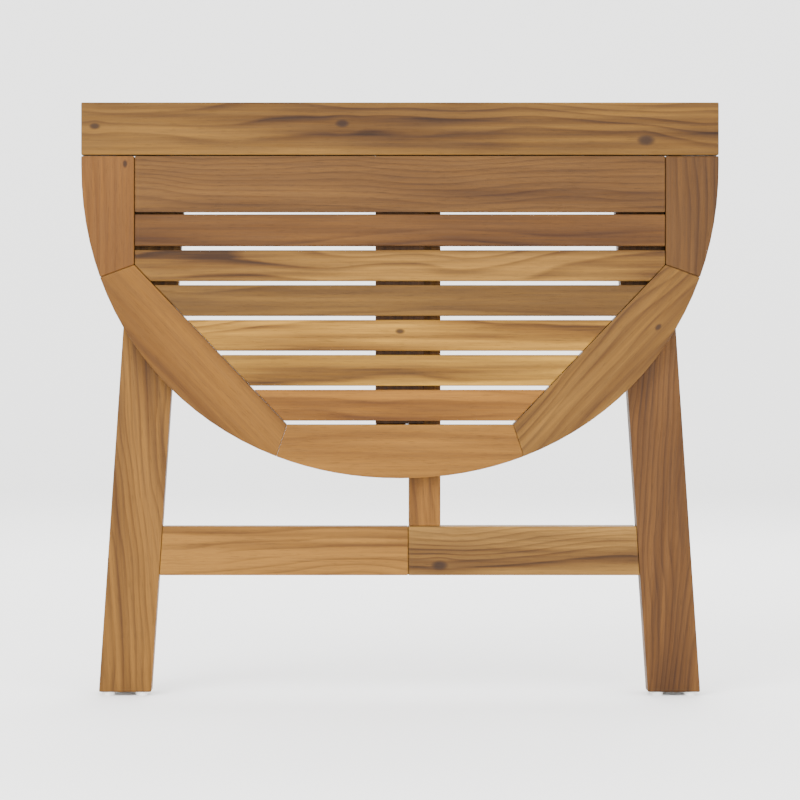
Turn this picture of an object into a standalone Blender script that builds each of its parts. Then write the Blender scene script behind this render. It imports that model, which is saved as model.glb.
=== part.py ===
"""A half-round folding table of slatted wood, folded flat. Its top hangs in front of two splayed leg frames.

+X is right, +Y is back and +Z is up, in metres. The origin is on the floor, below the middle of its box.
Lengths below are in millimetres, and the helper functions turn them into metres.
"""

import math

import bmesh
import bpy
from mathutils import Matrix, Vector

MM = 0.001
GAP = 0.3  # between two pieces that touch

# Depths are counted from the front face of the front leg frame, which lies this far in front of the origin.
FRONT = -16.5
TOP_FRONT, TOP_BACK = -25.0, -1.0
SLAT_BACK = -13.0
FRAME_DEPTH = 26.0
RAIL_DEPTH = 22.0
DEEP_RAIL = 30.0
REAR_FRONT, REAR_BACK = 33.0, 55.0
CAP_BACK = 58.0

# The top is half an oval below its hinge line, slightly squarer than an ellipse.
# A straight board lies above it.
HINGE_Z = 715.0
HINGE_Y = -0.5
SEAM = 0.65
HALF_WIDTH, OVAL_HEIGHT, OVAL_Z = 420.0, 413.5, HINGE_Z - 11.6
OVAL_POWER = 2.08
BOARD_HEIGHT = 70.0
SIDE_CORNER = (350.0, HINGE_Z - 144.0)
FRONT_CORNER = (149.0, HINGE_Z - 354.5)
SIDE_MITRE = (30.0, -11.0)
FRONT_MITRE = (10.0, -30.0)
SLATS = 7
SLOT_PITCH = 46.0
FIRST_SLOT_Z = HINGE_Z - 76.0
SLOT, FIRST_SLOT = 5.2, 2.8
SLAT_END_GAP = 0.6
BATTEN_HALF = 32.0
BATTEN_TOP = HINGE_Z + 34.0

# The leg frames lean outwards: their centre lines run from the hinge line to the floor.
LEG_TOP_X, LEG_FLOOR_X = 316.5, 364.5
LEG_WIDTH, REAR_LEG_WIDTH = 69.5, 58.0
GLIDE_HEIGHT, GLIDE_RADIUS, GLIDE_SPACING = 5.0, 9.0, 44.0
CAP_BOTTOM = HINGE_Z - 25.0
UPPER_RAIL = (HINGE_Z - 70.0, CAP_BOTTOM - GAP)
LOWER_RAIL = (160.0, 225.0)
RAIL_SEAM_X = 11.6
POST = (12.4, 54.3)

# The rear frame turns on two pins just under the cap rail.
REAR_PIVOT = (44.0, HINGE_Z - 43.0)
REAR_TOP = HINGE_Z - 31.0
REAR_LOWER_RAIL = (158.0, 215.0)
BLOCK = (356.5, 374.5)
BLOCK_BOTTOM = HINGE_Z - 59.0
PIN_RADIUS, PIN_BORE = 4.0, 4.35

# The support arm turns on a pin in the post, and its free end carries the raised top.
ARM_PIVOT = (11.0, HINGE_Z - 146.0)
ARM_LENGTH, ARM_HALF = 212.0, 9.0
ARM_X = (-31.0, 8.0)

HINGE_X, HINGE_WIDTH = 200.0, 50.0
KNUCKLE_RADIUS, HINGE_PIN_RADIUS, HINGE_BORE = 3.6, 1.6, 1.95
LEAF, LEAF_REACH = 1.6, 34.0

WOOD = ((0.46, 0.22, 0.06), 0.5, 0.0)
STEEL = ((0.55, 0.55, 0.56), 0.35, 1.0)
PLASTIC = ((0.88, 0.88, 0.86), 0.5, 0.0)


def clear_scene():
    for obj in list(bpy.data.objects):
        bpy.data.objects.remove(obj, do_unlink=True)


def collection(name):
    made = bpy.data.collections.new(name)
    bpy.context.scene.collection.children.link(made)
    return made


def add_object(name, mesh, group):
    obj = bpy.data.objects.new(name, mesh)
    group.objects.link(obj)
    return obj


def give_material(obj, finish, tint=1.0):
    """A material of its own for each piece: tint makes its board lighter or darker."""
    colour, roughness, metallic = finish
    material = bpy.data.materials.new(obj.name)
    material.use_nodes = True
    shader = material.node_tree.nodes["Principled BSDF"]
    shader.inputs["Base Color"].default_value = (*(min(1.0, part * tint) for part in colour), 1.0)
    shader.inputs["Roughness"].default_value = roughness
    shader.inputs["Metallic"].default_value = metallic
    obj.data.materials.clear()
    obj.data.materials.append(material)


def soften(obj, width=1.5):
    bevel = obj.modifiers.new("soft_edges", "BEVEL")
    bevel.width = width * MM
    bevel.segments = 2
    bevel.limit_method = "ANGLE"
    bevel.angle_limit = math.radians(25)


def box(name, x, y, z, group):
    """A box between two x, two y and two z values, with its origin at its middle."""
    size = [(high - low) * MM for low, high in (x, y, z)]
    middle = [(low + high) / 2 * MM for low, high in (x, (y[0] + FRONT, y[1] + FRONT), z)]
    mesh = bpy.data.meshes.new(name)
    shape = bmesh.new()
    bmesh.ops.create_cube(shape, size=1.0, matrix=Matrix.Diagonal((*size, 1.0)))
    shape.to_mesh(mesh)
    shape.free()
    obj = add_object(name, mesh, group)
    obj.location = middle
    return obj


def extruded(name, outline, low, high, turn, middle, group):
    """A flat outline given a thickness from low to high, as a welded mesh."""
    curve = bpy.data.curves.new(name, "CURVE")
    curve.dimensions = "2D"
    curve.fill_mode = "BOTH"
    curve.extrude = (high - low) / 2 * MM
    spline = curve.splines.new("POLY")
    spline.points.add(len(outline) - 1)
    for point, (across, up) in zip(spline.points, outline):
        point.co = (across * MM, up * MM, 0.0, 1.0)
    spline.use_cyclic_u = True
    guide = add_object(name + "_outline", curve, group)
    bpy.context.view_layer.update()
    graph = bpy.context.evaluated_depsgraph_get()
    mesh = bpy.data.meshes.new_from_object(guide.evaluated_get(graph))
    bpy.data.objects.remove(guide, do_unlink=True)
    shape = bmesh.new()
    shape.from_mesh(mesh)
    bmesh.ops.remove_doubles(shape, verts=shape.verts, dist=0.00001)
    bmesh.ops.recalc_face_normals(shape, faces=shape.faces)
    shape.to_mesh(mesh)
    shape.free()
    mesh.name = name
    obj = add_object(name, mesh, group)
    obj.rotation_euler = turn
    obj.location = middle
    return obj


def board(name, outline, y, group):
    """A board whose outline is seen from the front."""
    middle = (0.0, ((y[0] + y[1]) / 2 + FRONT) * MM, 0.0)
    return extruded(name, outline, y[0], y[1], (math.pi / 2, 0.0, 0.0), middle, group)


def cylinder(name, centre, length, radius, group, along="X", far_radius=None, sides=24):
    """A round bar about its centre, along X or Z. far_radius, if given, is the radius at its high end."""
    mesh = bpy.data.meshes.new(name)
    shape = bmesh.new()
    bmesh.ops.create_cone(
        shape,
        cap_ends=True,
        segments=sides,
        radius1=radius * MM,
        radius2=(radius if far_radius is None else far_radius) * MM,
        depth=length * MM,
    )
    shape.to_mesh(mesh)
    shape.free()
    mesh.shade_smooth()
    mesh.set_sharp_from_angle(angle=math.radians(40))
    obj = add_object(name, mesh, group)
    if along == "X":
        obj.rotation_euler = (0.0, math.pi / 2, 0.0)
    obj.location = Vector((centre[0], centre[1] + FRONT, centre[2])) * MM
    return obj


def boolean(obj, other, operation):
    modifier = obj.modifiers.new(other.name, "BOOLEAN")
    modifier.operation = operation
    modifier.object = other
    other.hide_render = True
    other.display_type = "WIRE"


def join(obj, other):
    boolean(obj, other, "UNION")


def cut(obj, other):
    boolean(obj, other, "DIFFERENCE")


def mirrored(outline, side):
    """The outline on the right, or its mirror image on the left, where side is -1."""
    return [(side * across, up) for across, up in outline]


def oval_point(angle):
    """A point of the oval. The angle is 0 at +X and grows downwards, to pi at -X."""
    across, down = math.cos(angle), math.sin(angle)
    power = 2.0 / OVAL_POWER
    x = HALF_WIDTH * math.copysign(abs(across) ** power, across)
    return Vector((x, OVAL_Z - OVAL_HEIGHT * abs(down) ** power))


def oval_angle(corner, direction):
    """The angle where the line from corner along direction leaves the oval's lower right, by halving."""
    low, high = 0.0, math.pi / 2
    for _ in range(50):
        angle = (low + high) / 2
        offset = oval_point(angle) - Vector(corner)
        if offset.x * direction[1] - offset.y * direction[0] < 0.0:
            low = angle
        else:
            high = angle
    return angle


def oval_arc(first, last, steps):
    return [tuple(oval_point(first + (last - first) * step / steps)) for step in range(steps + 1)]


def shifted(corner, direction, distance):
    """The corner moved sideways from a mitre's direction, so that two mitred ends stay apart."""
    length = math.hypot(*direction)
    return corner[0] - direction[1] / length * distance, corner[1] + direction[0] / length * distance


def inner_half_width(z):
    """Half the width of the opening inside the rim, at a height."""
    if z >= SIDE_CORNER[1]:
        return SIDE_CORNER[0]
    share = (z - FRONT_CORNER[1]) / (SIDE_CORNER[1] - FRONT_CORNER[1])
    return FRONT_CORNER[0] + share * (SIDE_CORNER[0] - FRONT_CORNER[0])


def make_rim(group):
    """The five mitred rim pieces: two sides, two diagonals and the front."""
    top = HINGE_Z - SEAM
    upper = shifted(SIDE_CORNER, SIDE_MITRE, GAP / 2)
    side = [(SIDE_CORNER[0], top), upper, *reversed(oval_arc(0.0, oval_angle(upper, SIDE_MITRE), 6))]
    side.append((HALF_WIDTH, top))
    lower = shifted(SIDE_CORNER, SIDE_MITRE, -GAP / 2)
    end = shifted(FRONT_CORNER, FRONT_MITRE, GAP / 2)
    arc = oval_arc(oval_angle(lower, SIDE_MITRE), oval_angle(end, FRONT_MITRE), 14)
    diagonal = [end, lower, *arc]
    turn = shifted(FRONT_CORNER, FRONT_MITRE, -GAP / 2)
    first = oval_angle(turn, FRONT_MITRE)
    front = [(-turn[0], turn[1]), turn, *oval_arc(first, math.pi - first, 16)]
    pieces = [board("rim_front", front, (TOP_FRONT, TOP_BACK), group)]
    for word, direction in (("left", -1), ("right", 1)):
        for kind, outline in (("side", side), ("diagonal", diagonal)):
            name = f"rim_{kind}_{word}"
            pieces.append(board(name, mirrored(outline, direction), (TOP_FRONT, TOP_BACK), group))
    return pieces


def slat_heights(index):
    """The lower and upper edge of a slat, counted from the wide one under the hinge line."""
    low = FIRST_SLOT_Z - SLOT_PITCH * index + (FIRST_SLOT if index == 0 else SLOT) / 2
    if index == 0:
        return low, HINGE_Z - SEAM
    return low, FIRST_SLOT_Z - SLOT_PITCH * (index - 1) - (FIRST_SLOT if index == 1 else SLOT) / 2


def make_slats(group):
    pieces = []
    for index in range(SLATS):
        low, high = slat_heights(index)
        heights = [low, high]
        if low < SIDE_CORNER[1] < high:
            heights.insert(1, SIDE_CORNER[1])
        right = [(inner_half_width(z) - SLAT_END_GAP, z) for z in heights]
        left = [(-across, z) for across, z in reversed(right)]
        pieces.append(board(f"slat_{index + 1}", right + left, (TOP_FRONT, SLAT_BACK), group))
    return pieces


def make_back_board(group, cutters):
    """The straight board above the hinge line, housed for the batten and let in for the two hinges."""
    bottom = HINGE_Z + SEAM
    x = (-HALF_WIDTH, HALF_WIDTH)
    back_board = box("back_board", x, (TOP_FRONT, TOP_BACK), (bottom, HINGE_Z + BOARD_HEIGHT), group)
    soften(back_board)
    housing_x = (-BATTEN_HALF - GAP, BATTEN_HALF + GAP)
    housing = box("batten_housing", housing_x, (SLAT_BACK, 5.0), (bottom - 5.0, BATTEN_TOP + GAP), cutters)
    cut(back_board, housing)
    for word, side in (("left", -1), ("right", 1)):
        x = hinge_span(side, 1.0)
        knuckles = box(f"board_knuckle_notch_{word}", x, (-5.4, 5.0), (bottom - 5.0, HINGE_Z + 5.0), cutters)
        depth = (TOP_BACK - LEAF - GAP, 5.0)
        height = (HINGE_Z + 2.0, HINGE_Z + LEAF_REACH + 1.0)
        recess = box(f"board_leaf_recess_{word}", x, depth, height, cutters)
        cut(back_board, knuckles)
        cut(back_board, recess)
    return back_board


def make_batten(group):
    """The batten behind the slats, which also holds the board."""
    x = (-BATTEN_HALF, BATTEN_HALF)
    z = (FRONT_CORNER[1] + 2 * GAP, BATTEN_TOP)
    batten = box("batten", x, (SLAT_BACK + GAP, TOP_BACK), z, group)
    soften(batten, 1.0)
    return batten


def hinge_span(side, spare=0.0):
    return side * HINGE_X - HINGE_WIDTH / 2 - spare, side * HINGE_X + HINGE_WIDTH / 2 + spare


def make_hinge(word, side, group, cutters):
    """A fixed leaf on the cap with two knuckles, a moving leaf on the board with one, and the pin."""
    low, high = hinge_span(side)
    third = HINGE_WIDTH / 3
    axis = (side * HINGE_X, HINGE_Y, HINGE_Z)
    moving_z = (HINGE_Z + 2.0, HINGE_Z + LEAF_REACH)
    moving = box(f"hinge_leaf_moving_{word}", (low, high), (TOP_BACK - LEAF, TOP_BACK), moving_z, group)
    fixed_y = (2.0, LEAF_REACH)
    fixed = box(f"hinge_leaf_fixed_{word}", (low, high), fixed_y, (HINGE_Z - LEAF, HINGE_Z), group)
    middle = (low + third + GAP, high - third - GAP)
    web_z = (HINGE_Z + 0.5, HINGE_Z + 6.0)
    web = box(f"moving_web_{word}", middle, (HINGE_Y - 2.1, HINGE_Y - 0.9), web_z, cutters)
    knuckle = cylinder(f"moving_knuckle_{word}", axis, middle[1] - middle[0], KNUCKLE_RADIUS, cutters)
    moving_bore = cylinder(f"moving_bore_{word}", axis, HINGE_WIDTH, HINGE_BORE, cutters, sides=16)
    trims = []
    for place, span in (("low", (low - 5, low + third + GAP)), ("high", (high - third - GAP, high + 5))):
        trims.append(box(f"moving_trim_{place}_{word}", span, (-9, 9), (HINGE_Z - 9, HINGE_Z + 6.5), cutters))
    join(moving, web)
    join(moving, knuckle)
    for trim in trims:
        cut(moving, trim)
    cut(moving, moving_bore)
    for place, span in (("low", (low, low + third)), ("high", (high - third, high))):
        centre = (sum(span) / 2, HINGE_Y, HINGE_Z)
        fixed_knuckle = cylinder(f"fixed_knuckle_{place}_{word}", centre, third, KNUCKLE_RADIUS, cutters)
        web = box(f"fixed_web_{place}_{word}", span, (0.6, 6.0), (HINGE_Z - 2.8, HINGE_Z - 1.2), cutters)
        join(fixed, web)
        join(fixed, fixed_knuckle)
    clear_x = (middle[0] - GAP, middle[1] + GAP)
    clearance = box(f"fixed_trim_{word}", clear_x, (-9, 6.5), (HINGE_Z - 9, HINGE_Z + 9), cutters)
    fixed_bore = cylinder(f"fixed_bore_{word}", axis, HINGE_WIDTH + 2, HINGE_BORE, cutters, sides=16)
    cut(fixed, clearance)
    cut(fixed, fixed_bore)
    pin = cylinder(f"hinge_pin_{word}", axis, HINGE_WIDTH, HINGE_PIN_RADIUS, group, sides=16)
    return moving, fixed, pin


def make_cap(group, cutters):
    cap_x = (-BLOCK[1] - 3.0, BLOCK[1] + 3.0)
    cap = box("cap_rail", cap_x, (0.0, CAP_BACK), (CAP_BOTTOM, HINGE_Z - GAP), group)
    soften(cap)
    for word, side in (("left", -1), ("right", 1)):
        x = hinge_span(side, 1.0)
        notch = box(f"cap_knuckle_notch_{word}", x, (-5.0, 6.6), (HINGE_Z - 5.0, HINGE_Z + 5.0), cutters)
        recess_y = (0.0, LEAF_REACH + 1.0)
        recess = box(f"cap_leaf_recess_{word}", x, recess_y, (HINGE_Z - LEAF - GAP, HINGE_Z + 5.0), cutters)
        cut(cap, notch)
        cut(cap, recess)
    return cap


def leg_x(z):
    """The leg's centre line, which leans outwards towards the floor."""
    return LEG_FLOOR_X + (LEG_TOP_X - LEG_FLOOR_X) * z / HINGE_Z


def make_leg(name, side, width, top, y, group):
    half = width / 2
    corners = ((GLIDE_HEIGHT, -half), (GLIDE_HEIGHT, half), (top, half), (top, -half))
    outline = [(leg_x(z) + across, z) for z, across in corners]
    leg = board(name, mirrored(outline, side), y, group)
    soften(leg, 2.0)
    return leg


def make_glides(name, side, spacing, radius, y, group):
    """Two tapered plastic glides under a leg."""
    pieces = []
    for word, shift in (("inner", -spacing / 2), ("outer", spacing / 2)):
        height = GLIDE_HEIGHT - GAP
        centre = (side * (LEG_FLOOR_X + shift), y, height / 2)
        pieces.append(cylinder(f"{name}_{word}", centre, height, radius - 1, group, "Z", radius))
    return pieces


def rail_outline(z, start, width, side):
    """A rail from a vertical end at start to the inner face of a splayed leg."""
    ends = [(leg_x(height) - width / 2 - GAP, height) for height in z]
    return mirrored([(start, z[0]), ends[0], ends[1], (start, z[1])], side)


def full_rail_outline(z, width):
    right = [(leg_x(height) - width / 2 - GAP, height) for height in z]
    return right + [(-across, height) for across, height in reversed(right)]


def make_front_frame(group, cutters):
    pieces = []
    for word, side in (("left", -1), ("right", 1)):
        top = CAP_BOTTOM - GAP
        pieces.append(make_leg(f"front_leg_{word}", side, LEG_WIDTH, top, (0.0, FRAME_DEPTH), group))
        name = f"front_glide_{word}"
        pieces += make_glides(name, side, GLIDE_SPACING, GLIDE_RADIUS, FRAME_DEPTH / 2, group)
        block_x = sorted((side * BLOCK[0], side * BLOCK[1]))
        block_y = (REAR_FRONT, CAP_BACK - 1.0)
        block = box(f"pivot_block_{word}", block_x, block_y, (BLOCK_BOTTOM, CAP_BOTTOM - GAP), group)
        soften(block)
        cut(block, pivot_bore(f"block_bore_{word}", side, cutters))
        pieces.append(block)
        pieces.append(make_pivot_pin(word, side, group, cutters))
    left = rail_outline(LOWER_RAIL, -RAIL_SEAM_X + GAP / 2, LEG_WIDTH, -1)
    right = rail_outline(LOWER_RAIL, RAIL_SEAM_X + GAP / 2, LEG_WIDTH, 1)
    rails = [board("lower_rail_left", left, (0.0, RAIL_DEPTH), group)]
    rails.append(board("lower_rail_right", right, (0.0, DEEP_RAIL), group))
    upper = full_rail_outline(UPPER_RAIL, LEG_WIDTH)
    rails.append(board("upper_rail", upper, (0.0, RAIL_DEPTH), group))
    post_z = (LOWER_RAIL[1] + GAP, UPPER_RAIL[0] - GAP)
    post = box("post", POST, (0.0, RAIL_DEPTH), post_z, group)
    for piece in (*rails, post):
        soften(piece)
    return pieces + rails + [post]


def pivot_bore(name, side, cutters):
    centre = (side * (BLOCK[0] + BLOCK[1]) / 2, *REAR_PIVOT)
    return cylinder(name, centre, 140.0, PIN_BORE, cutters)


def make_pivot_pin(word, side, group, cutters):
    """The pin that a rear leg turns on, with a round head outside its block."""
    inner, outer = 300.0, BLOCK[1] + GAP
    centre = (side * (inner + outer) / 2, *REAR_PIVOT)
    pin = cylinder(f"pivot_pin_{word}", centre, outer - inner + 1.0, PIN_RADIUS, group)
    head_centre = (side * (outer + 2.0), *REAR_PIVOT)
    head = cylinder(f"pivot_pin_head_{word}", head_centre, 4.0, 8.0, cutters)
    join(pin, head)
    return pin


def make_rear_frame(group, cutters):
    y = (REAR_FRONT, REAR_BACK)
    pieces = []
    for word, side in (("left", -1), ("right", 1)):
        leg = make_leg(f"rear_leg_{word}", side, REAR_LEG_WIDTH, REAR_TOP, y, group)
        cut(leg, pivot_bore(f"leg_bore_{word}", side, cutters))
        pieces.append(leg)
        pieces += make_glides(f"rear_glide_{word}", side, 34.0, 8.0, REAR_PIVOT[0], group)
    for name, z in (("rear_upper_rail", (UPPER_RAIL[0], REAR_TOP)), ("rear_lower_rail", REAR_LOWER_RAIL)):
        rail = board(name, full_rail_outline(z, REAR_LEG_WIDTH), y, group)
        soften(rail)
        pieces.append(rail)
    return pieces


def make_support_arm(group, cutters):
    """A round-ended wooden arm, bored for its pin."""
    pivot_y, pivot_z = ARM_PIVOT
    outline = []
    for centre_z, start in ((pivot_z, 0.0), (pivot_z - ARM_LENGTH, math.pi)):
        for step in range(9):
            angle = start + math.pi * step / 8
            outline.append((ARM_HALF * math.cos(angle), centre_z + ARM_HALF * math.sin(angle)))
    turn = (math.pi / 2, 0.0, math.pi / 2)
    middle = (sum(ARM_X) / 2 * MM, (pivot_y + FRONT) * MM, 0.0)
    arm = extruded("support_arm", outline, *ARM_X, turn, middle, group)
    centre = (sum(ARM_X) / 2, pivot_y, pivot_z)
    cut(arm, cylinder("arm_bore", centre, 60.0, PIN_BORE, cutters))
    inner, outer = POST[0] - GAP, ARM_X[0] - GAP
    pin_centre = ((inner + outer) / 2, pivot_y, pivot_z)
    pin = cylinder("arm_pin", pin_centre, inner - outer + 1.0, PIN_RADIUS, group)
    pin.location.x -= 0.5 * MM
    head = cylinder("arm_pin_head", (outer - 2.0, pivot_y, pivot_z), 4.0, 7.5, cutters)
    join(pin, head)
    return arm, pin


def pivot(name, y, z, pieces, group):
    """An empty on a joint's axis, which carries that body's pieces."""
    empty = bpy.data.objects.new(name, None)
    empty.location = Vector((0.0, y + FRONT, z)) * MM
    empty.empty_display_size = 0.05
    group.objects.link(empty)
    bpy.context.view_layer.update()
    for piece in pieces:
        piece.parent = empty
        piece.matrix_parent_inverse = empty.matrix_world.inverted()


def finish_of(name):
    if "glide" in name:
        return PLASTIC
    return STEEL if "pin" in name or "hinge" in name else WOOD


def main():
    clear_scene()
    table = collection("half_round_folding_table")
    cutters = collection("cutters")
    cutters.hide_render = True
    rim = make_rim(table)
    slats = make_slats(table)
    for piece in rim + slats:
        soften(piece, 1.6)
    top = [*rim, *slats, make_back_board(table, cutters), make_batten(table)]
    frame = [make_cap(table, cutters), *make_front_frame(table, cutters)]
    for word, side in (("left", -1), ("right", 1)):
        moving, fixed, pin = make_hinge(word, side, table, cutters)
        top.append(moving)
        frame += [fixed, pin]
    arm, arm_pin = make_support_arm(table, cutters)
    frame.append(arm_pin)
    rear = make_rear_frame(table, cutters)
    for index, piece in enumerate([*top, *frame, *rear, arm]):
        give_material(piece, finish_of(piece.name), 0.85 + 0.1 * (index * 5 % 7) / 2)
    pivot("top_pivot", HINGE_Y, HINGE_Z, top, table)
    pivot("front_frame_base", 0.0, 0.0, frame, table)
    pivot("rear_frame_pivot", *REAR_PIVOT, rear, table)
    pivot("arm_pivot", *ARM_PIVOT, [arm], table)


main()
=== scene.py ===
"""The looks of a half-round folding table: oiled boards, steel fittings, plastic glides and a pale studio."""

import math

import bmesh
import bpy
import numpy as np
from mathutils import Matrix, Vector


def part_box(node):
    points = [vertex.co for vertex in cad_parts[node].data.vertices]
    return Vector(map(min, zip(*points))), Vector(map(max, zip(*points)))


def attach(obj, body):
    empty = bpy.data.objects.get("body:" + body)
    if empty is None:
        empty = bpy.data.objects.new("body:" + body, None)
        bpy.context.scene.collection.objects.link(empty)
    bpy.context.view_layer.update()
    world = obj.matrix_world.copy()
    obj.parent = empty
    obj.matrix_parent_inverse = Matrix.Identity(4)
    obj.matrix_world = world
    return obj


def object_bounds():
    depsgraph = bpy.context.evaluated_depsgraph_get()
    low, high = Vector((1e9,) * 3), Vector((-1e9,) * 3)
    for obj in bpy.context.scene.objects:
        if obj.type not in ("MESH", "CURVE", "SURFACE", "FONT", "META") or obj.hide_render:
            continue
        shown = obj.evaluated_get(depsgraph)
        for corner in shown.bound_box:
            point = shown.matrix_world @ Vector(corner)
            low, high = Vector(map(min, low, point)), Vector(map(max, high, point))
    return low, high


bl_info = {
    "name": "Half-round folding table",
    "version": (1, 0, 0),
    "blender": (4, 5, 0),
    "location": "View3D > Sidebar > Table",
    "description": "Finishes the boards, screws and pads of a half-round folding table",
    "category": "Object",
}

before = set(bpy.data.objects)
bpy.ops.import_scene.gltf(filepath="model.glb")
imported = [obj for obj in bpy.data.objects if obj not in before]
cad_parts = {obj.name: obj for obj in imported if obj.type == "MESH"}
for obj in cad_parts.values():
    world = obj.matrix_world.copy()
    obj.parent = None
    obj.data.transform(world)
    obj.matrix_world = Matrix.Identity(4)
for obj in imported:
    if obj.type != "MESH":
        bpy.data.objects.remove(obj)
CAD_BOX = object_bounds()

ALONG_X, ALONG_Z = 0.0, math.pi / 2
DIAGONAL = math.radians(46.3)
SPLAY = math.radians(3.8)

# What a tone is multiplied by in early wood, in late wood and in the darkest streaks.
LIGHT_WOOD = (1.55, 1.62, 1.70)
DEEP_WOOD = (0.52, 0.46, 0.44)
DARKEST_WOOD = (0.20, 0.16, 0.17)
KNOT_COLOUR = (0.014, 0.006, 0.003, 1.0)
WOOD_GLOSS = 0.14

# Lengths below are in metres.
KNUCKLE_RADIUS = 0.0036
LEAF_LENGTH = 0.031  # from a leaf's free edge to its knuckle
LEAF_SCREWS = ((-0.016, 0.012), (0.0, 0.023), (0.016, 0.012))  # along the knuckle, and from it
BATTEN_SCREW_X = 0.021
BATTEN_TOP_MARGIN = 0.015
CAP_SCREWS = (-0.325, -0.305, 0.033, 0.305, 0.325)
CAP_BLOCK_SCREW_X = 0.363
CAP_MARGIN = 0.013
RAIL_SCREW_REACH = 0.022  # from a rear rail's end into its leg
RAIL_SCREW_MARGIN = 0.014
PAD_WIDTH = 0.030
PAD_RUN = 0.022  # how far the pad goes up each face of the arm
PAD_GAP = 0.00005

STUDIO_WHITE = (0.96, 0.96, 0.95, 1.0)
STUDIO_STRENGTH = 2.8
FLOOR_FRONT, FLOOR_BACK, FLOOR_HALF_WIDTH = -9.0, 5.0, 9.0
BACKDROP_BEND, BACKDROP_TOP = 1.2, 9.0
LAMP_TARGET = (0.0, 0.0, 0.4)
# Each lamp: its name, place, size and power in watts.
LAMPS = (
    ("key", (-1.9, -3.0, 2.5), 2.2, 170.0),
    ("fill", (2.0, -3.4, 1.3), 2.0, 60.0),
    ("front", (-0.1, -4.2, 0.62), 0.9, 42.0),
    ("back", (0.4, 2.6, 2.8), 2.0, 90.0),
)
SENSOR_WIDTH = 36.0  # millimetres
TABLE_SHARE = 0.7975  # the table's share of the view's width
CAMERA_X, CAMERA_Z = -0.08, 0.456
VIEW_CENTRE_BELOW_TOP = 0.392

# Each board: its middle tone, the strength of its figure, its grain's angle in the front view, the spacing of
# its rings, where its pith line runs across the grain and in depth, a seed, and its knots as (x, z, radius).
BOARDS = {
    "back_board": ((0.348, 0.199, 0.066), 1.15, ALONG_X, 0.0075, 0.70, 0.05, 1.3,
                   ((0.324, 0.735, 0.0065), (-0.076, 0.757, 0.005), (-0.402, 0.7535, 0.004))),
    "slat_1": ((0.263, 0.141, 0.062), 0.75, ALONG_X, 0.0050, 0.60, 0.08, 2.1, ()),
    "slat_2": ((0.262, 0.131, 0.05), 0.85, ALONG_X, 0.0060, 0.64, 0.06, 3.7, ()),
    "slat_3": ((0.459, 0.27, 0.095), 1.45, ALONG_X, 0.0085, 0.54, 0.04, 4.2, ()),
    "slat_4": ((0.301, 0.176, 0.067), 0.9, ALONG_X, 0.0055, 0.53, 0.03, 5.9, ()),
    "slat_5": ((0.775, 0.467, 0.123), 1.4, ALONG_X, 0.0080, 0.45, 0.04, 6.4, ((0.0, 0.4835, 0.0035),)),
    "slat_6": ((0.779, 0.483, 0.125), 1.2, ALONG_X, 0.0090, 0.46, 0.06, 7.8, ()),
    "slat_7": ((0.51, 0.255, 0.065), 0.8, ALONG_X, 0.0065, 0.35, 0.05, 8.5, ()),
    "rim_front": ((0.594, 0.318, 0.094), 0.5, ALONG_X, 0.0110, 0.26, 0.07, 9.2, ()),
    "rim_diagonal_left": ((0.398, 0.204, 0.055), 0.55, -DIAGONAL, 0.0090, 0.10, 0.06, 10.6, ()),
    "rim_diagonal_right": ((0.44, 0.254, 0.088), 0.95, DIAGONAL, 0.0065, 0.05, 0.05, 11.9,
                           ((0.340, 0.489, 0.003),)),
    "rim_side_left": ((0.36, 0.175, 0.064), 0.45, ALONG_Z, 0.0085, 0.30, 0.08, 12.3,
                      ((-0.362, 0.704, 0.003),)),
    "rim_side_right": ((0.214, 0.11, 0.047), 0.9, ALONG_Z, 0.0070, -0.33, 0.05, 13.7, ()),
    # The batten's tone is its own wood colour darkened by painted shade, the shade that it sits in behind the
    # slats.
    "batten": ((0.17, 0.08, 0.035), 0.7, ALONG_Z, 0.0070, 0.10, 0.06, 14.1, ()),
    "front_leg_left": ((0.37, 0.2, 0.07), 1.0, ALONG_Z + SPLAY, 0.0090, 0.42, 0.05, 15.8, ()),
    "front_leg_right": ((0.25, 0.125, 0.055), 0.9, ALONG_Z - SPLAY, 0.0070, -0.42, 0.05, 16.2, ()),
    "rear_leg_left": ((0.36, 0.19, 0.07), 0.9, ALONG_Z + SPLAY, 0.0080, 0.40, 0.05, 17.4, ()),
    "rear_leg_right": ((0.42, 0.22, 0.08), 0.9, ALONG_Z - SPLAY, 0.0085, -0.40, 0.05, 18.9, ()),
    "lower_rail_left": ((0.49, 0.27, 0.091), 1.0, ALONG_X, 0.0085, 0.24, 0.03, 19.5, ()),
    "lower_rail_right": ((0.507, 0.314, 0.141), 1.0, ALONG_X, 0.0060, 0.15, 0.04, 20.3,
                         ((0.053, 0.173, 0.006),)),
    "rear_lower_rail": ((0.38, 0.20, 0.075), 0.9, ALONG_X, 0.0075, 0.24, 0.05, 21.6, ()),
    "upper_rail": ((0.40, 0.21, 0.08), 0.8, ALONG_X, 0.0075, 0.60, 0.05, 22.7, ()),
    "rear_upper_rail": ((0.36, 0.19, 0.07), 0.8, ALONG_X, 0.0070, 0.61, 0.05, 23.2, ()),
    "cap_rail": ((0.44, 0.24, 0.09), 0.9, ALONG_X, 0.0080, 0.72, 0.09, 24.8, ()),
    "post": ((0.452, 0.23, 0.072), 0.7, ALONG_Z, 0.0080, 0.02, 0.04, 25.4, ()),
    "pivot_block_left": ((0.35, 0.18, 0.07), 0.7, ALONG_X, 0.0070, 0.72, 0.04, 26.9, ()),
    "pivot_block_right": ((0.39, 0.20, 0.07), 0.7, ALONG_X, 0.0070, 0.60, 0.04, 27.3, ()),
    "support_arm": ((0.45, 0.24, 0.09), 0.8, ALONG_Z, 0.0070, 0.05, 0.05, 28.1, ()),
}


def connect(tree, socket, value):
    if isinstance(value, bpy.types.NodeSocket):
        tree.links.new(value, socket)
    else:
        socket.default_value = value


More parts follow.
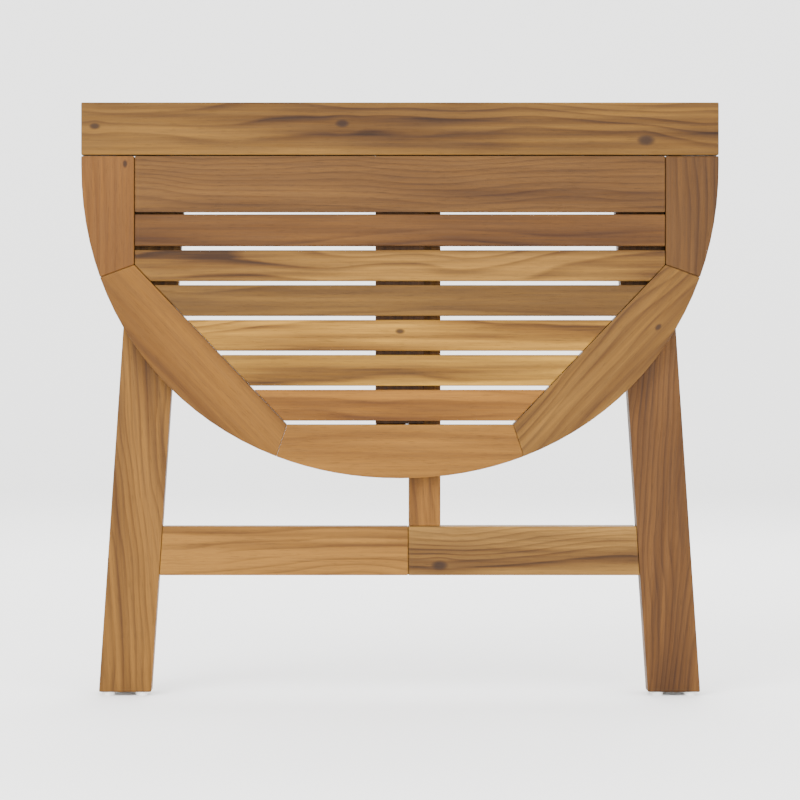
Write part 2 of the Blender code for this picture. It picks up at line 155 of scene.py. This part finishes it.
def calc(tree, operation, *values):
    node = tree.nodes.new("ShaderNodeMath")
    node.operation = operation
    for socket, value in zip(node.inputs, values):
        connect(tree, socket, value)
    return node.outputs[0]


def remap(tree, value, low, high, to_low=0.0, to_high=1.0):
    """value taken smoothly from low..high to to_low..to_high, and held outside it."""
    node = tree.nodes.new("ShaderNodeMapRange")
    node.interpolation_type = "SMOOTHSTEP"
    for socket, number in zip(node.inputs, (value, low, high, to_low, to_high)):
        connect(tree, socket, number)
    return node.outputs[0]


def noise(tree, place, stretch, detail, seed):
    """Noise with stretch cells in a metre: along the grain, through the board and across it."""
    mapping = tree.nodes.new("ShaderNodeMapping")
    mapping.inputs["Scale"].default_value = stretch
    mapping.inputs["Location"].default_value = (seed * 3.1, seed * 1.7, seed * 2.3)
    tree.links.new(place, mapping.inputs["Vector"])
    node = tree.nodes.new("ShaderNodeTexNoise")
    node.inputs["Scale"].default_value = 1.0
    node.inputs["Detail"].default_value = detail
    tree.links.new(mapping.outputs["Vector"], node.inputs["Vector"])
    return node.outputs["Fac"]


def ramp(tree, value, stops):
    node = tree.nodes.new("ShaderNodeValToRGB")
    elements = node.color_ramp.elements
    while len(elements) < len(stops):
        elements.new(1.0)
    for element, (position, colour) in zip(elements, stops):
        element.position = position
        element.color = (*colour, 1.0)
    tree.links.new(value, node.inputs["Fac"])
    return node.outputs["Color"]


def mix(tree, kind, amount, first, second):
    node = tree.nodes.new("ShaderNodeMix")
    node.data_type = "RGBA"
    node.blend_type = kind
    for socket, value in zip((node.inputs[0], node.inputs[6], node.inputs[7]), (amount, first, second)):
        connect(tree, socket, value)
    return node.outputs[2]


def new_material(name):
    material = bpy.data.materials.new(name)
    material.use_nodes = True
    return material, material.node_tree, material.node_tree.nodes["Principled BSDF"]


def toned(colour, gains):
    return tuple(part * gain for part, gain in zip(colour, gains))


def raise_surface(tree, shader, height, strength, distance):
    bump = tree.nodes.new("ShaderNodeBump")
    bump.inputs["Strength"].default_value = strength
    bump.inputs["Distance"].default_value = distance
    connect(tree, bump.inputs["Height"], height)
    tree.links.new(bump.outputs["Normal"], shader.inputs["Normal"])


def knot_around(tree, x, z, angle, knot):
    """A point's height over a knot, and its squared distance from it in ovals longer along the grain."""
    wide, high, radius = knot
    along = wide * math.cos(angle) + high * math.sin(angle)
    across = high * math.cos(angle) - wide * math.sin(angle)
    side = calc(tree, "SUBTRACT", z, across)
    first = calc(tree, "DIVIDE", calc(tree, "SUBTRACT", x, along), radius * 2.6)
    second = calc(tree, "DIVIDE", side, radius * 1.5)
    first = calc(tree, "MULTIPLY", first, first)
    second = calc(tree, "MULTIPLY", second, second)
    return side, calc(tree, "ADD", first, second)


def wood(name, tone, figure, angle, spacing, above, behind, seed, knots):
    """Solid wood: growth rings about a pith line beside the board, warped along the grain.

    A ring's phase is the distance to the pith line over the spacing. A knot pushes the rings aside as a bell.
    Broad bands, narrow bands, fibres and pores lie over the rings."""
    material, tree, shader = new_material(name)
    coordinates = tree.nodes.new("ShaderNodeTexCoord")
    turn = tree.nodes.new("ShaderNodeMapping")
    turn.inputs["Rotation"].default_value = (0.0, angle, 0.0)
    tree.links.new(coordinates.outputs["Object"], turn.inputs["Vector"])
    place = turn.outputs["Vector"]
    split = tree.nodes.new("ShaderNodeSeparateXYZ")
    tree.links.new(place, split.inputs[0])
    x, y, z = split.outputs
    warp = calc(tree, "SUBTRACT", noise(tree, place, (2.2, 5.0, 7.0), 2.0, seed), 0.5)
    ripple = calc(tree, "SUBTRACT", noise(tree, place, (14.0, 40.0, 60.0), 2.0, seed + 0.4), 0.5)
    across = calc(tree, "ADD", z, calc(tree, "MULTIPLY", warp, 0.11 * figure))
    across = calc(tree, "ADD", across, calc(tree, "MULTIPLY", ripple, 0.004))
    core = None
    for knot in knots:
        side, square = knot_around(tree, x, z, angle, knot)
        bell = calc(tree, "POWER", 0.6, square)
        push = calc(tree, "MULTIPLY", calc(tree, "MULTIPLY", side, bell), 0.9)
        across = calc(tree, "SUBTRACT", across, push)
        dark = remap(tree, square, 0.05, 0.75, 1.0, 0.0)
        core = dark if core is None else calc(tree, "MAXIMUM", core, dark)
    across = calc(tree, "SUBTRACT", across, above)
    through = calc(tree, "SUBTRACT", y, behind)
    across = calc(tree, "MULTIPLY", across, across)
    through = calc(tree, "MULTIPLY", through, through)
    squares = calc(tree, "ADD", across, through)
    ring = calc(tree, "FRACT", calc(tree, "DIVIDE", calc(tree, "SQRT", squares), spacing))
    growth = ((0.0, 0.1), (0.5, 0.25), (0.86, 1.0), (1.0, 0.1))
    late = ramp(tree, ring, tuple((position, (level,) * 3) for position, level in growth))
    broad = calc(tree, "SUBTRACT", noise(tree, place, (1.6, 9.0, 16.0), 2.0, seed + 0.9), 0.5)
    band = calc(tree, "SUBTRACT", noise(tree, place, (3.0, 40.0, 90.0), 3.0, seed + 1.6), 0.5)
    fibre = noise(tree, place, (14.0, 420.0, 620.0), 3.0, seed + 2.2)
    pore = remap(tree, noise(tree, place, (60.0, 900.0, 1300.0), 1.0, seed + 3.0), 0.60, 0.72)
    depth = calc(tree, "MULTIPLY_ADD", late, 0.34 * figure, 0.24)
    depth = calc(tree, "MULTIPLY_ADD", broad, 1.7 * figure, depth)
    depth = calc(tree, "MULTIPLY_ADD", band, 1.25 * figure, depth)
    light, deep, darkest = (toned(tone, gains) for gains in (LIGHT_WOOD, DEEP_WOOD, DARKEST_WOOD))
    colour = ramp(tree, depth, ((0.0, light), (0.36, tone), (0.74, deep), (1.0, darkest)))
    shade = calc(tree, "MULTIPLY_ADD", calc(tree, "SUBTRACT", fibre, 0.5), 0.55, 1.0)
    shade = calc(tree, "SUBTRACT", shade, calc(tree, "MULTIPLY", pore, 0.22))
    grey = tree.nodes.new("ShaderNodeCombineColor")
    for socket in grey.inputs:
        connect(tree, socket, shade)
    colour = mix(tree, "MULTIPLY", 1.0, colour, grey.outputs[0])
    if core is not None:
        colour = mix(tree, "MIX", calc(tree, "MULTIPLY", core, 0.85), colour, KNOT_COLOUR)
    connect(tree, shader.inputs["Base Color"], colour)
    connect(tree, shader.inputs["Roughness"], remap(tree, fibre, 0.3, 0.7, 0.44, 0.60))
    shader.inputs["Specular IOR Level"].default_value = WOOD_GLOSS
    height = calc(tree, "SUBTRACT", calc(tree, "MULTIPLY_ADD", late, 0.3, fibre), pore)
    raise_surface(tree, shader, height, 0.35, 0.0003)
    return material


def steel(name, colour, roughness):
    """Zinc-plated steel: a soft mottle from plating and fine brushing along X."""
    material, tree, shader = new_material(name)
    coordinates = tree.nodes.new("ShaderNodeTexCoord")
    place = coordinates.outputs["Object"]
    brush = noise(tree, place, (60.0, 2500.0, 2500.0), 2.0, 4.0)
    mottle = noise(tree, place, (90.0, 90.0, 90.0), 3.0, 7.0)
    dull = toned(colour, (0.72,) * 3)
    connect(tree, shader.inputs["Base Color"], ramp(tree, mottle, ((0.35, dull), (0.65, colour))))
    gloss = remap(tree, brush, 0.3, 0.7, roughness - 0.08, roughness + 0.12)
    connect(tree, shader.inputs["Roughness"], gloss)
    shader.inputs["Metallic"].default_value = 1.0
    raise_surface(tree, shader, brush, 0.15, 0.0001)
    return material


def moulded(name, colour, roughness):
    """Moulded plastic or rubber: a fine matt grain with faint scuffs."""
    material, tree, shader = new_material(name)
    coordinates = tree.nodes.new("ShaderNodeTexCoord")
    place = coordinates.outputs["Object"]
    grain = noise(tree, place, (1600.0, 1600.0, 1600.0), 2.0, 3.0)
    scuff = noise(tree, place, (120.0, 120.0, 260.0), 3.0, 5.0)
    worn = toned(colour, (0.82,) * 3)
    connect(tree, shader.inputs["Base Color"], ramp(tree, scuff, ((0.35, worn), (0.6, colour))))
    gloss = remap(tree, scuff, 0.3, 0.7, roughness - 0.06, roughness + 0.08)
    connect(tree, shader.inputs["Roughness"], gloss)
    raise_surface(tree, shader, grain, 0.2, 0.0001)
    return material


def dress(obj, material):
    obj.data.materials.clear()
    obj.data.materials.append(material)


def fit(piece, material, body):
    """Gives a finished piece its material and the body that it rides on."""
    dress(piece, material)
    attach(piece, body)


def closed_grid(points):
    """Faces of a grid whose rows close round: a corner, the next in its row, and those two a row on."""
    rows, columns = points.shape[:2]
    index = np.arange(rows * columns).reshape(rows, columns)
    beside = np.roll(index, -1, axis=1)
    corners = (index[:-1], beside[:-1], beside[1:], index[1:])
    return np.stack(corners, axis=-1).reshape(-1, 4)


def mesh_object(name, points, faces):
    """A mesh at the origin, its doubles merged and faces outwards, smooth up to edges of 45 degrees."""
    mesh = bpy.data.meshes.new(name)
    mesh.from_pydata(points.tolist(), [], faces.tolist())
    mesh.validate()
    mesh.update()
    obj = bpy.data.objects.new(name, mesh)
    bpy.context.scene.collection.objects.link(obj)
    shape = bmesh.new()
    shape.from_mesh(mesh)
    bmesh.ops.remove_doubles(shape, verts=shape.verts, dist=0.000001)
    bmesh.ops.recalc_face_normals(shape, faces=shape.faces)
    shape.to_mesh(mesh)
    shape.free()
    mesh.shade_smooth()
    mesh.set_sharp_from_angle(angle=math.radians(45))
    return obj


def screw_head(radius, height):
    """A low domed head with a cross recess, on its own +Z axis: a share of the radius by an angle round it.

    The dome's height is one less three quarters of the share squared. Two bars at right angles sink in."""
    sides, rings = 48, 14
    share = np.linspace(0.0, 1.0, rings)[:, None]
    turn = np.linspace(0.0, 2.0 * np.pi, sides, endpoint=False)[None, :]
    across, up = share * np.cos(turn), share * np.sin(turn)
    dome = height * (1.0 - 0.75 * np.broadcast_to(share, across.shape) ** 2)
    thin, long = 0.13, 0.58
    level = np.maximum(abs(across) / thin, abs(up) / long)
    upright = np.maximum(abs(up) / thin, abs(across) / long)
    recess = np.clip((1.15 - np.minimum(level, upright)) / 0.3, 0.0, 1.0)
    top = np.stack([across * radius, up * radius, dome - 1.6 * height * recess], axis=-1)
    skirt = top[-1:].copy()
    skirt[..., 2] = -2.5 * height
    base = np.zeros_like(skirt)
    base[..., 2] = -2.5 * height
    return np.concatenate([top, skirt, base])


def screws(name, places, axis, radius, height):
    """One object holding a screw head at each place, with its head towards axis."""
    head = screw_head(radius, height)
    faces = closed_grid(head)
    spin = Vector((0.0, 0.0, 1.0)).rotation_difference(Vector(axis)).to_matrix()
    points, quads = [], []
    for number, place in enumerate(places):
        turned = np.array(spin @ Matrix.Rotation(0.7 * number, 3, "Z"))
        points.append(head.reshape(-1, 3) @ turned.T + np.array(place))
        quads.append(faces + number * head.shape[0] * head.shape[1])
    return mesh_object(name, np.concatenate(points), np.concatenate(quads))


def arm_pad(width, thickness):
    """A rubber strip bent round the arm's free end: a closed outline carried across the arm, and two caps.

    The outline's inner and outer runs are half circles about the end's centre, each with a short straight
    run up either face of the arm."""
    low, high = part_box("support_arm")
    radius = (high.y - low.y) / 2
    middle_y, end_z = (low.y + high.y) / 2, low.z + radius
    run = np.linspace(0.0, PAD_RUN, 8)[1:]
    turn = np.linspace(0.0, np.pi, 33)

    def outline(reach):
        arc = np.stack([middle_y - reach * np.cos(turn), end_z - reach * np.sin(turn)], axis=-1)
        first = np.stack([np.full_like(run, middle_y - reach), end_z + run], axis=-1)[::-1]
        last = np.stack([np.full_like(run, middle_y + reach), end_z + run], axis=-1)
        return np.concatenate([first, arc, last])

    loop = np.concatenate([outline(radius + PAD_GAP), outline(radius + PAD_GAP + thickness)[::-1]])
    inset = (high.x - low.x - width) / 2
    points = np.zeros((2, len(loop), 3))
    points[..., 0] = np.array([[low.x + inset], [high.x - inset]])
    points[..., 1:] = loop[None]
    index = np.arange(2 * len(loop)).reshape(2, len(loop))
    wall = closed_grid(points)
    # Each cap joins a point of the inner run to its mate on the outer run.
    step = np.arange(len(loop) // 2 - 1)
    mate = len(loop) - 1 - step
    caps = [np.stack((row[step], row[step + 1], row[mate - 1], row[mate]), axis=-1) for row in index]
    return mesh_object("arm_pad", points.reshape(-1, 3), np.concatenate([wall, *caps]))


class TableSettings(bpy.types.PropertyGroup):
    """The sizes and colours that a user would change."""

    figure: bpy.props.FloatProperty(
        name="Figure", description="Strength of the wood's figure", default=1.0, min=0.0, max=2.0,
        subtype="FACTOR"
    )
    stain: bpy.props.FloatVectorProperty(
        name="Stain", description="How much red, green and blue the oil leaves in the wood",
        default=(0.24, 0.189, 0.083), subtype="COLOR"
    )
    steel_colour: bpy.props.FloatVectorProperty(
        name="Steel", description="Colour of the plated steel", default=(0.60, 0.60, 0.61), subtype="COLOR"
    )
    glide_colour: bpy.props.FloatVectorProperty(
        name="Glides", description="Colour of the plastic glides", default=(0.86, 0.86, 0.84), subtype="COLOR"
    )
    screw_radius: bpy.props.FloatProperty(
        name="Screw radius", description="Radius of a screw's head", default=0.0034, unit="LENGTH"
    )
    screw_height: bpy.props.FloatProperty(
        name="Screw height", description="How far a head stands proud", default=0.0004, unit="LENGTH"
    )
    pad_thickness: bpy.props.FloatProperty(
        name="Pad", description="Thickness of the arm's rubber pad", default=0.0005, unit="LENGTH"
    )
    camera_distance: bpy.props.FloatProperty(
        name="Camera distance", description="From the table's front to the camera", default=3.4, unit="LENGTH"
    )


class TABLE_OT_boards(bpy.types.Operator):
    """Gives each board its own piece of wood"""

    bl_idname = "table.boards"
    bl_label = "Finish the boards"

    def execute(self, context):
        settings = context.scene.table_settings
        for name, (tone, figure, *rest) in BOARDS.items():
            oiled = toned(tone, settings.stain)
            dress(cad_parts[name], wood(f"wood_{name}", oiled, figure * settings.figure, *rest))
        return {"FINISHED"}


class TABLE_OT_fittings(bpy.types.Operator):
    """Finishes the hinges, pins and glides"""

    bl_idname = "table.fittings"
    bl_label = "Finish the fittings"

    def execute(self, context):
        settings = context.scene.table_settings
        plate = steel("plated_steel", tuple(settings.steel_colour), 0.36)
        plastic = moulded("white_plastic", tuple(settings.glide_colour), 0.45)
        for name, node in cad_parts.items():
            if name not in BOARDS:
                dress(node, plastic if "glide" in name else plate)
        return {"FINISHED"}


class TABLE_OT_hinge_screws(bpy.types.Operator):
    """Adds three screws to each hinge leaf"""

    bl_idname = "table.hinge_screws"
    bl_label = "Add the hinge screws"

    def execute(self, context):
        settings = context.scene.table_settings
        finish = steel("screw_steel", tuple(settings.steel_colour), 0.3)
        back_of_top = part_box("batten")[1].y
        for side in ("left", "right"):
            for kind, body, axis in (("moving", "tabletop", (0, 1, 0)), ("fixed", "front_frame", (0, 0, 1))):
                low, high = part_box(f"hinge_leaf_{kind}_{side}")
                middle = (low.x + high.x) / 2
                places = []
                for shift, reach in LEAF_SCREWS:
                    if kind == "moving":
                        places.append((middle + shift, back_of_top, high.z - LEAF_LENGTH + reach))
                    else:
                        top_of_leaf = high.z - KNUCKLE_RADIUS
                        places.append((middle + shift, high.y - LEAF_LENGTH + reach, top_of_leaf))
                name = f"hinge_screws_{kind}_{side}"
                piece = screws(name, places, axis, settings.screw_radius, settings.screw_height)
                fit(piece, finish, body)
        return {"FINISHED"}


class TABLE_OT_batten_screws(bpy.types.Operator):
    """Adds two screws through the batten into each slat, and two near the batten's top"""

    bl_idname = "table.batten_screws"
    bl_label = "Add the batten screws"

    def execute(self, context):
        settings = context.scene.table_settings
        low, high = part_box("batten")
        places = []
        for number in range(1, 8):
            bottom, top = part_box(f"slat_{number}")
            middle = (bottom.z + top.z) / 2
            places += [(side * BATTEN_SCREW_X, high.y, middle) for side in (-1, 1)]
        places += [(side * BATTEN_SCREW_X, high.y, high.z - BATTEN_TOP_MARGIN) for side in (-1, 1)]
        piece = screws("batten_screws", places, (0, 1, 0), settings.screw_radius, settings.screw_height)
        finish = steel("batten_screw_steel", tuple(settings.steel_colour), 0.3)
        fit(piece, finish, "tabletop")
        return {"FINISHED"}


class TABLE_OT_frame_screws(bpy.types.Operator):
    """Adds the screws that hold the cap rail down and the rear rails to their legs"""

    bl_idname = "table.frame_screws"
    bl_label = "Add the frame screws"

    def execute(self, context):
        settings = context.scene.table_settings
        finish = steel("frame_screw_steel", tuple(settings.steel_colour), 0.3)
        low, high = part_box("cap_rail")
        places = [(x, low.y + CAP_MARGIN, high.z) for x in CAP_SCREWS]
        places += [(side * CAP_BLOCK_SCREW_X, high.y - CAP_MARGIN, high.z) for side in (-1, 1)]
        cap = screws("cap_screws", places, (0, 0, 1), settings.screw_radius, settings.screw_height)
        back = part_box("rear_leg_left")[1].y
        places = []
        for rail in ("rear_lower_rail", "rear_upper_rail"):
            bottom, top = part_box(rail)
            for side in (-1, 1):
                x = side * (top.x + RAIL_SCREW_REACH)
                places += [(x, back, bottom.z + RAIL_SCREW_MARGIN), (x, back, top.z - RAIL_SCREW_MARGIN)]
        rear = screws("rear_rail_screws", places, (0, 1, 0), settings.screw_radius, settings.screw_height)
        fit(cap, finish, "front_frame")
        fit(rear, finish, "rear_frame")
        return {"FINISHED"}


class TABLE_OT_arm_pad(bpy.types.Operator):
    """Adds the rubber pad on the support arm's free end"""

    bl_idname = "table.arm_pad"
    bl_label = "Add the arm pad"

    def execute(self, context):
        piece = arm_pad(PAD_WIDTH, context.scene.table_settings.pad_thickness)
        rubber = moulded("black_rubber", (0.03, 0.03, 0.03), 0.7)
        fit(piece, rubber, "support_arm")
        return {"FINISHED"}


def sweep_surface(profile, half_width):
    """A backdrop: a profile in Y and Z carried straight along X."""
    points = []
    for x in (-half_width, half_width):
        points.append(np.stack([np.full(len(profile), x), profile[:, 0], profile[:, 1]], axis=-1))
    count = len(profile)
    step = np.arange(count - 1)
    faces = np.stack((step, step + count, step + count + 1, step + 1), axis=-1)
    return np.concatenate(points), faces


class TABLE_OT_stage(bpy.types.Operator):
    """Adds the pale floor and backdrop, the soft lights and the camera"""

    bl_idname = "table.stage"
    bl_label = "Set the stage"

    def execute(self, context):
        scene = context.scene
        turn = np.linspace(0.0, np.pi / 2, 24)
        rise = BACKDROP_BEND * (1.0 - np.cos(turn))
        curve = np.stack([FLOOR_BACK + BACKDROP_BEND * np.sin(turn), rise], axis=-1)
        front, top = (FLOOR_FRONT, 0.0), (FLOOR_BACK + BACKDROP_BEND, BACKDROP_TOP)
        profile = np.concatenate([[front], curve, [top]])
        floor = mesh_object("floor", *sweep_surface(profile, FLOOR_HALF_WIDTH))
        material, tree, shader = new_material("studio_paper")
        place = tree.nodes.new("ShaderNodeTexCoord").outputs["Object"]
        cloud = noise(tree, place, (1.5, 1.5, 1.5), 2.0, 1.0)
        paper = ramp(tree, cloud, ((0.0, (0.93, 0.93, 0.93)), (1.0, (0.97, 0.97, 0.97))))
        connect(tree, shader.inputs["Base Color"], paper)
        shader.inputs["Roughness"].default_value = 0.9
        dress(floor, material)
        world = bpy.data.worlds.new("studio")
        world.use_nodes = True
        sky = world.node_tree.nodes["Background"]
        sky.inputs["Color"].default_value = STUDIO_WHITE
        sky.inputs["Strength"].default_value = STUDIO_STRENGTH
        scene.world = world
        target = Vector(LAMP_TARGET)
        for name, spot, size, power in LAMPS:
            lamp = bpy.data.lights.new(name, "AREA")
            lamp.size = size
            lamp.energy = power
            obj = bpy.data.objects.new(name, lamp)
            obj.location = spot
            obj.rotation_euler = (target - Vector(spot)).to_track_quat("-Z", "Y").to_euler()
            scene.collection.objects.link(obj)
        self.add_camera(scene)
        return {"FINISHED"}

    def add_camera(self, scene):
        """A long lens, straight on, a little left of the table's middle, with a small shift to frame it."""
        low, high = (Vector(corner) for corner in CAD_BOX)
        distance = scene.table_settings.camera_distance
        camera = bpy.data.cameras.new("camera")
        camera.sensor_width = SENSOR_WIDTH
        view_width = (high.x - low.x) / TABLE_SHARE
        camera.lens = camera.sensor_width * distance / view_width
        camera.shift_x = -CAMERA_X / view_width
        camera.shift_y = (high.z - VIEW_CENTRE_BELOW_TOP - CAMERA_Z) / view_width
        obj = bpy.data.objects.new("camera", camera)
        obj.location = (CAMERA_X, low.y - distance, CAMERA_Z)
        obj.rotation_euler = (math.pi / 2, 0.0, 0.0)
        scene.collection.objects.link(obj)
        scene.camera = obj


class TABLE_PT_panel(bpy.types.Panel):
    """Lists the table's settings and steps"""

    bl_idname = "TABLE_PT_panel"
    bl_label = "Folding table"
    bl_space_type = "VIEW_3D"
    bl_region_type = "UI"
    bl_category = "Table"

    def draw(self, context):
        for name in TableSettings.__annotations__:
            self.layout.prop(context.scene.table_settings, name)
        for step in STEPS:
            self.layout.operator(step.bl_idname)


STEPS = (
    TABLE_OT_stage,
    TABLE_OT_boards,
    TABLE_OT_fittings,
    TABLE_OT_hinge_screws,
    TABLE_OT_batten_screws,
    TABLE_OT_frame_screws,
    TABLE_OT_arm_pad,
)
CLASSES = (TableSettings, *STEPS, TABLE_PT_panel)


def register():
    for item in CLASSES:
        bpy.utils.register_class(item)
    bpy.types.Scene.table_settings = bpy.props.PointerProperty(type=TableSettings)


def unregister():
    del bpy.types.Scene.table_settings
    for item in reversed(CLASSES):
        bpy.utils.unregister_class(item)


def main():
    register()
    bpy.ops.table.stage()
    bpy.ops.table.boards()
    bpy.ops.table.fittings()
    bpy.ops.table.hinge_screws()
    bpy.ops.table.batten_screws()
    bpy.ops.table.frame_screws()
    bpy.ops.table.arm_pad()


if __name__ == "__main__":
    main()
